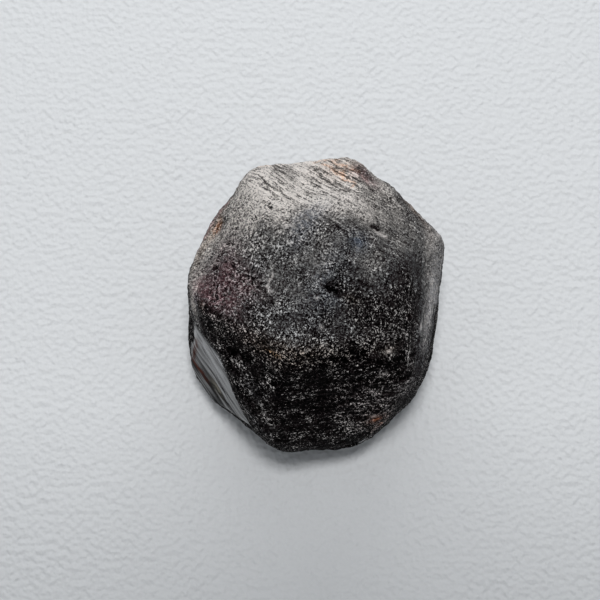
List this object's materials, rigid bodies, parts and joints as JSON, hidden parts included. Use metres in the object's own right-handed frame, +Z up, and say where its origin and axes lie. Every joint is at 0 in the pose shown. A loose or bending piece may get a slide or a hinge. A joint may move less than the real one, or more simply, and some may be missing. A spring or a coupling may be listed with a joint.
{
  "type": "garnet crystal",
  "caption": "Natural garnet crystal, a rounded ball of worn kite-shaped faces in very dark red-grey, with one smooth fresh break, resting on a flat.",
  "frame": {"origin": "on the resting flat, under the middle of the crystal's bounding box", "axes": "+Z up from the resting flat, +Y along the crystal's longest extent towards its pale dusty side, +X to the right of it"},
  "size_m": [0.0258, 0.0284, 0.0237],
  "materials": {
    "garnet": "rough worn stone, nearly black with a dark red cast, fine pale flecks and dust on the far side, iron stains, and one glossy fresh break"
  },
  "bodies": {
    "root": {"garnet_crystal": "garnet"}
  },
  "joints": []
}
